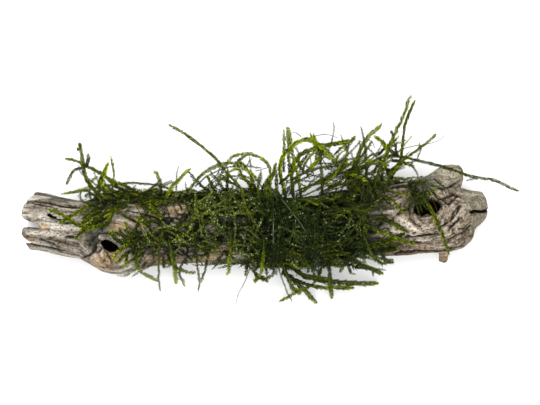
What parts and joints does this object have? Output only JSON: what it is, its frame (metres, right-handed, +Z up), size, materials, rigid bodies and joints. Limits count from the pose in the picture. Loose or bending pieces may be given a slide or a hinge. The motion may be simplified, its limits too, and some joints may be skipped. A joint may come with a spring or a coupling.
{
  "type": "aquarium moss on cholla wood",
  "caption": "Hollow weathered cholla wood log with a mat of trailing aquarium moss tied over it; lies flat as tank decoration and shelter for shrimps.",
  "frame": {"origin": "on the surface that the wood rests on, under the middle of the whole thing", "axes": "+X along the wood to its knobby end, +Y to the side where most of the moss stands out, +Z up"},
  "size_m": [0.1598, 0.0682, 0.0277],
  "materials": {
    "weathered_wood": "weathered grey-brown grain, matte",
    "moss": "tangled dark green moss, damp satin",
    "young_moss": "fresh bright green moss, damp satin",
    "clear_line": "clear nylon line, glossy"
  },
  "bodies": {
    "root": {"cholla_wood": "weathered_wood", "moss_mat": "moss", "tie_line": "clear_line", "left_shoot_1": "young_moss", "left_shoot_2": "moss", "left_shoot_3": "young_moss", "left_shoot_4": "young_moss", "left_shoot_5": "moss", "left_shoot_6": "young_moss", "left_shoot_7": "young_moss", "left_shoot_8": "young_moss", "upper_shoot_1": "moss", "upper_shoot_2": "moss", "upper_shoot_3": "moss", "upper_shoot_4": "moss", "upper_shoot_5": "young_moss", "upper_shoot_6": "moss", "upper_shoot_7": "young_moss", "upper_shoot_8": "young_moss", "upper_shoot_9": "young_moss", "upper_shoot_10": "moss", "upper_shoot_11": "young_moss", "right_shoot_1": "young_moss", "right_shoot_2": "moss", "right_shoot_3": "young_moss", "right_shoot_4": "moss", "right_shoot_5": "moss", "right_shoot_6": "young_moss", "right_shoot_7": "young_moss", "right_shoot_8": "young_moss", "lower_shoot_1": "moss", "lower_shoot_2": "moss", "lower_shoot_3": "young_moss", "lower_shoot_4": "moss", "lower_shoot_5": "young_moss", "lower_shoot_6": "moss", "lower_shoot_7": "young_moss", "lower_shoot_8": "young_moss", "lower_shoot_9": "young_moss", "lower_shoot_10": "young_moss", "lower_shoot_11": "young_moss", "lower_shoot_12": "moss", "lower_shoot_13": "young_moss"}
  },
  "joints": []
}
